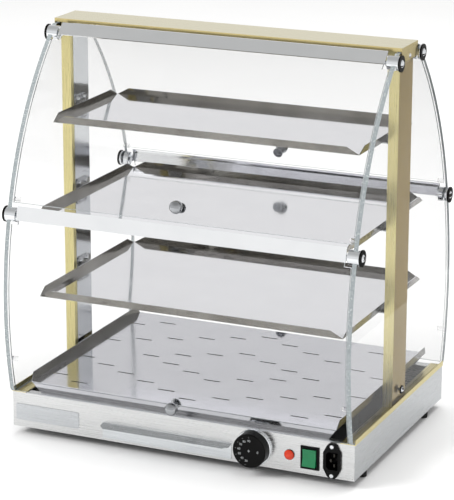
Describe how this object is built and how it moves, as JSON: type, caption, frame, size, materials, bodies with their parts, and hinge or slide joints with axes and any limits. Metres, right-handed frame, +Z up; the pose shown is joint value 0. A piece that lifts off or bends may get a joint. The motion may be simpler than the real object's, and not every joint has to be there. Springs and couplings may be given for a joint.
{
  "type": "hot food display case",
  "caption": "Countertop heated display case with beehive-shaped clear ends, curved lift-up doors front and back, polished shelves over a perforated tray, and a base with dial and rocker.",
  "frame": {"origin": "on the table under the middle of the case, at the centre of its bounding box and the underside of its feet", "axes": "+X to the right of the person facing the controls, +Y to the back, +Z up"},
  "size_m": [0.516, 0.4042, 0.5537],
  "materials": {
    "base_steel": "brushed",
    "inner_steel": "dull",
    "drawer_steel": "satin",
    "tray_steel": "brushed",
    "shelf_steel": "mirror polished",
    "liner_steel": "mirror polished",
    "hinge_steel": "satin",
    "fixing_steel": "satin",
    "chrome": "polished",
    "gold_aluminium": "brushed champagne anodised",
    "clear_acrylic": "clear acrylic, polished edges",
    "element_steel": "heat-darkened",
    "black_plastic": "satin",
    "dial_plastic": "satin with pale printed scale",
    "foot_plastic": "satin",
    "red_lens": "translucent gloss",
    "green_rocker": "translucent gloss",
    "blade_brass": "nickel bright",
    "badge_metal": "satin, blank"
  },
  "bodies": {
    "case": {"badge_plate": "badge_metal", "base_shell": "base_steel", "bottom_plate": "inner_steel", "canopy": "gold_aluminium", "control_shield": "inner_steel", "door_stops": "clear_acrylic", "drawer_runners": "inner_steel", "element_brackets": "inner_steel", "end_panel_left": "clear_acrylic", "end_panel_right": "clear_acrylic", "heating_element": "element_steel", "inlet_body": "black_plastic", "inlet_pins": "blade_brass", "inlet_screws": "chrome", "lamp_body": "black_plastic", "lamp_lens": "red_lens", "panel_screws": "chrome", "panel_washers": "black_plastic", "pivot_barrels": "chrome", "pivot_screws": "chrome", "pivot_washers": "black_plastic", "post_left": "gold_aluminium", "post_liner_left": "liner_steel", "post_liner_right": "liner_steel", "post_right": "gold_aluminium", "rocker_frame": "black_plastic", "shelf_bottom": "shelf_steel", "shelf_brackets": "fixing_steel", "shelf_middle": "shelf_steel", "shelf_screws": "chrome", "shelf_top": "shelf_steel", "side_channel_left": "gold_aluminium", "side_channel_right": "gold_aluminium", "thermostat_body": "black_plastic", "thermostat_skirt": "chrome"},
    "front_upper_door": {"front_upper_hinge_strip": "hinge_steel", "front_upper_knob": "chrome", "front_upper_knob_fixing": "fixing_steel", "front_upper_sheet": "clear_acrylic"},
    "front_lower_door": {"front_lower_hinge_strip": "hinge_steel", "front_lower_knob": "chrome", "front_lower_knob_fixing": "fixing_steel", "front_lower_sheet": "clear_acrylic"},
    "rear_upper_door": {"rear_upper_hinge_strip": "hinge_steel", "rear_upper_knob": "chrome", "rear_upper_knob_fixing": "fixing_steel", "rear_upper_sheet": "clear_acrylic"},
    "rear_lower_door": {"rear_lower_hinge_strip": "hinge_steel", "rear_lower_knob": "chrome", "rear_lower_knob_fixing": "fixing_steel", "rear_lower_sheet": "clear_acrylic"},
    "thermostat_dial": {"thermostat_knob": "dial_plastic"},
    "power_rocker": {"rocker": "green_rocker"},
    "water_drawer": {"drawer": "drawer_steel"},
    "perforated_tray": {"tray": "tray_steel"},
    "levelling_foot_front_left": {"foot_front_left": "foot_plastic"},
    "levelling_foot_front_right": {"foot_front_right": "foot_plastic"},
    "levelling_foot_rear_left": {"foot_rear_left": "foot_plastic"},
    "levelling_foot_rear_right": {"foot_rear_right": "foot_plastic"}
  },
  "joints": [
    {"name": "front_upper_door_hinge", "type": "hinge", "parent": "case", "child": "front_upper_door", "pos_m": [0, -0.04121, 0.536], "axis": [-1, 0, 0], "range_deg": [0, 95]},
    {"name": "front_lower_door_hinge", "type": "hinge", "parent": "case", "child": "front_lower_door", "pos_m": [0, -0.169, 0.312], "axis": [-1, 0, 0], "range_deg": [0, 90]},
    {"name": "rear_upper_door_hinge", "type": "hinge", "parent": "case", "child": "rear_upper_door", "pos_m": [0, 0.04121, 0.536], "axis": [1, 0, 0], "range_deg": [0, 95]},
    {"name": "rear_lower_door_hinge", "type": "hinge", "parent": "case", "child": "rear_lower_door", "pos_m": [0, 0.169, 0.312], "axis": [1, 0, 0], "range_deg": [0, 90]},
    {"name": "thermostat_dial_turn", "type": "hinge", "parent": "case", "child": "thermostat_dial", "pos_m": [0.109, -0.1715, 0.0372], "axis": [0, 1, 0], "range_deg": [0, 300]},
    {"name": "power_rocker_tilt", "type": "hinge", "parent": "case", "child": "power_rocker", "pos_m": [0.1884, -0.1695, 0.035], "axis": [1, 0, 0], "range_deg": [0, 12]},
    {"name": "water_drawer_slide", "type": "slide", "parent": "case", "child": "water_drawer", "axis": [0, -1, 0], "range_m": [0, 0.26]},
    {"name": "perforated_tray_lift", "type": "slide", "parent": "case", "child": "perforated_tray", "axis": [0, 0, 1], "range_m": [0, 0.05]},
    {"name": "levelling_foot_front_left_screw", "type": "slide", "parent": "case", "child": "levelling_foot_front_left", "axis": [0, 0, -1], "range_m": [0, 0.006]},
    {"name": "levelling_foot_front_right_screw", "type": "slide", "parent": "case", "child": "levelling_foot_front_right", "axis": [0, 0, -1], "range_m": [0, 0.006]},
    {"name": "levelling_foot_rear_left_screw", "type": "slide", "parent": "case", "child": "levelling_foot_rear_left", "axis": [0, 0, -1], "range_m": [0, 0.006]},
    {"name": "levelling_foot_rear_right_screw", "type": "slide", "parent": "case", "child": "levelling_foot_rear_right", "axis": [0, 0, -1], "range_m": [0, 0.006]}
  ]
}
